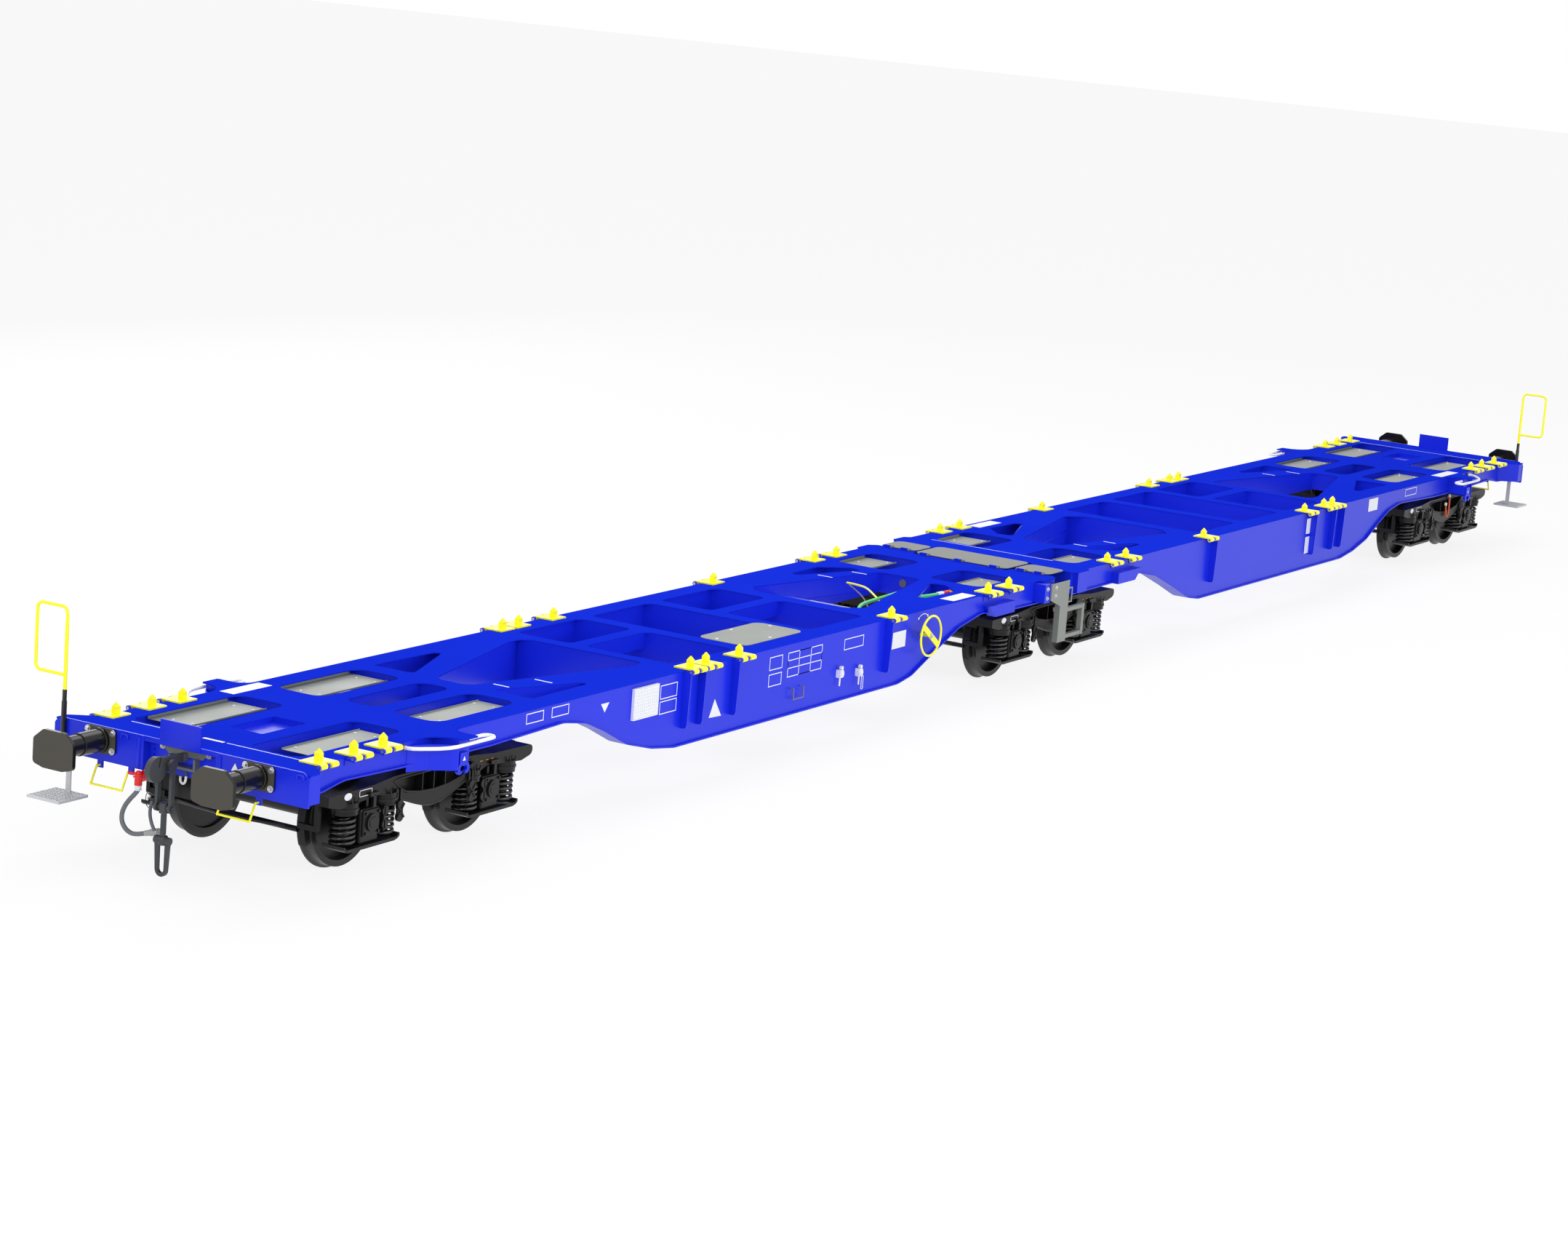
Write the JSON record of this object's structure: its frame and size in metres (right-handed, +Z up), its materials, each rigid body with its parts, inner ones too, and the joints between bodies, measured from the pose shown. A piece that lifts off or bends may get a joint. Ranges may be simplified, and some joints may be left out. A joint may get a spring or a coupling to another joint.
{
  "type": "articulated container flat wagon",
  "caption": "Articulated railway flat wagon for containers: open steel decks on two-axle bogies, fold-down spigots, buffers and screw couplings.",
  "frame": {"origin": "on the ground the wheel flanges stand on, under the middle pivot", "axes": "+X along the track towards unit b, +Y across the track to the left, +Z up"},
  "size_m": [29.59, 3.3, 2.1849],
  "materials": {
    "blue_paint": "semi-gloss paint",
    "yellow_paint": "gloss paint",
    "white_paint": "semi-gloss paint",
    "red_paint": "paint",
    "black_paint": "matt black paint",
    "dark_steel": "bare and greased",
    "galvanised": "hot dip zinc",
    "wheel_steel": "rolled steel",
    "hose_rubber": "matt"
  },
  "bodies": {
    "unit_a": {"unit_a_deck": "blue_paint", "unit_a_left_sill": "blue_paint", "unit_a_right_sill": "blue_paint", "unit_a_beams": "blue_paint", "unit_a_headstock": "blue_paint", "unit_a_buffers": "dark_steel", "unit_a_draw_hook": "dark_steel", "unit_a_hinge_pins": "galvanised", "unit_a_wheel_covers": "galvanised", "unit_a_end_handrail": "yellow_paint", "unit_a_end_step": "galvanised", "unit_a_side_rails": "white_paint", "unit_a_release_handles": "yellow_paint", "unit_a_end_cock": "red_paint", "unit_a_brake_hose": "hose_rubber", "unit_a_hose_head": "galvanised", "handbrake_wheels": "yellow_paint", "ladder": "galvanised", "footplates": "galvanised", "access_plate": "galvanised", "side_fittings": "white_paint"},
    "coupling_a": {"unit_a_coupling": "dark_steel"},
    "left_spigots_a": {"unit_a_left_spigots": "yellow_paint"},
    "right_spigots_a": {"unit_a_right_spigots": "yellow_paint"},
    "unit_b": {"unit_b_deck": "blue_paint", "unit_b_left_sill": "blue_paint", "unit_b_right_sill": "blue_paint", "unit_b_beams": "blue_paint", "unit_b_headstock": "blue_paint", "unit_b_buffers": "dark_steel", "unit_b_draw_hook": "dark_steel", "unit_b_hinge_pins": "galvanised", "unit_b_wheel_covers": "galvanised", "unit_b_end_handrail": "yellow_paint", "unit_b_end_step": "galvanised", "unit_b_side_rails": "white_paint", "unit_b_release_handles": "yellow_paint", "unit_b_end_cock": "red_paint", "unit_b_brake_hose": "hose_rubber", "unit_b_hose_head": "galvanised"},
    "coupling_b": {"unit_b_coupling": "dark_steel"},
    "left_spigots_b": {"unit_b_left_spigots": "yellow_paint"},
    "right_spigots_b": {"unit_b_right_spigots": "yellow_paint"},
    "bogie_a": {"bogie_a_frame": "black_paint", "bogie_a_axleboxes": "black_paint"},
    "bogie_mid": {"bogie_mid_frame": "black_paint", "bogie_mid_axleboxes": "black_paint"},
    "bogie_b": {"bogie_b_frame": "black_paint", "bogie_b_axleboxes": "black_paint"},
    "wheelset_a_outer": {"bogie_a_outer_wheelset": "wheel_steel"},
    "wheelset_a_inner": {"bogie_a_inner_wheelset": "wheel_steel"},
    "wheelset_mid_a": {"bogie_mid_a_wheelset": "wheel_steel"},
    "wheelset_mid_b": {"bogie_mid_b_wheelset": "wheel_steel"},
    "wheelset_b_outer": {"bogie_b_outer_wheelset": "wheel_steel"},
    "wheelset_b_inner": {"bogie_b_inner_wheelset": "wheel_steel"}
  },
  "joints": [
    {"name": "bogie_a_swivel", "type": "hinge", "parent": "unit_a", "child": "bogie_a", "pos_m": [-11.995, 0, 0.898], "axis": [0, 0, 1], "range_deg": [-5, 5]},
    {"name": "bogie_mid_swivel", "type": "hinge", "parent": "unit_a", "child": "bogie_mid", "pos_m": [0, 0, 0.898], "axis": [0, 0, 1], "range_deg": [-5, 5]},
    {"name": "articulation", "type": "hinge", "parent": "unit_a", "child": "unit_b", "pos_m": [0, 0, 0.988], "axis": [0, 0, 1], "range_deg": [-10, 10]},
    {"name": "bogie_b_swivel", "type": "hinge", "parent": "unit_b", "child": "bogie_b", "pos_m": [11.995, 0, 0.898], "axis": [0, 0, 1], "range_deg": [-5, 5]},
    {"name": "wheelset_a_outer_spin", "type": "hinge", "parent": "bogie_a", "child": "wheelset_a_outer", "pos_m": [-12.895, 0, 0.488], "axis": [0, 1, 0], "continuous": true},
    {"name": "wheelset_a_inner_spin", "type": "hinge", "parent": "bogie_a", "child": "wheelset_a_inner", "pos_m": [-11.095, 0, 0.488], "axis": [0, 1, 0], "continuous": true},
    {"name": "wheelset_mid_a_spin", "type": "hinge", "parent": "bogie_mid", "child": "wheelset_mid_a", "pos_m": [-0.9, 0, 0.488], "axis": [0, 1, 0], "continuous": true},
    {"name": "wheelset_mid_b_spin", "type": "hinge", "parent": "bogie_mid", "child": "wheelset_mid_b", "pos_m": [0.9, 0, 0.488], "axis": [0, 1, 0], "continuous": true},
    {"name": "wheelset_b_outer_spin", "type": "hinge", "parent": "bogie_b", "child": "wheelset_b_outer", "pos_m": [12.895, 0, 0.488], "axis": [0, 1, 0], "continuous": true},
    {"name": "wheelset_b_inner_spin", "type": "hinge", "parent": "bogie_b", "child": "wheelset_b_inner", "pos_m": [11.095, 0, 0.488], "axis": [0, 1, 0], "continuous": true},
    {"name": "coupling_a_swing", "type": "hinge", "parent": "unit_a", "child": "coupling_a", "pos_m": [-14.345, 0, 1.043], "axis": [0, 1, 0], "range_deg": [-10, 95]},
    {"name": "coupling_b_swing", "type": "hinge", "parent": "unit_b", "child": "coupling_b", "pos_m": [14.345, 0, 1.043], "axis": [0, -1, 0], "range_deg": [-10, 95]},
    {"name": "left_spigots_a_fold", "type": "hinge", "parent": "unit_a", "child": "left_spigots_a", "pos_m": [-7, 1.258, 1.156], "axis": [-1, 0, 0], "range_deg": [0, 178]},
    {"name": "right_spigots_a_fold", "type": "hinge", "parent": "unit_a", "child": "right_spigots_a", "pos_m": [-7, -1.258, 1.156], "axis": [1, 0, 0], "range_deg": [0, 178]},
    {"name": "left_spigots_b_fold", "type": "hinge", "parent": "unit_b", "child": "left_spigots_b", "pos_m": [7, 1.258, 1.156], "axis": [-1, 0, 0], "range_deg": [0, 178]},
    {"name": "right_spigots_b_fold", "type": "hinge", "parent": "unit_b", "child": "right_spigots_b", "pos_m": [7, -1.258, 1.156], "axis": [1, 0, 0], "range_deg": [0, 178]}
  ]
}
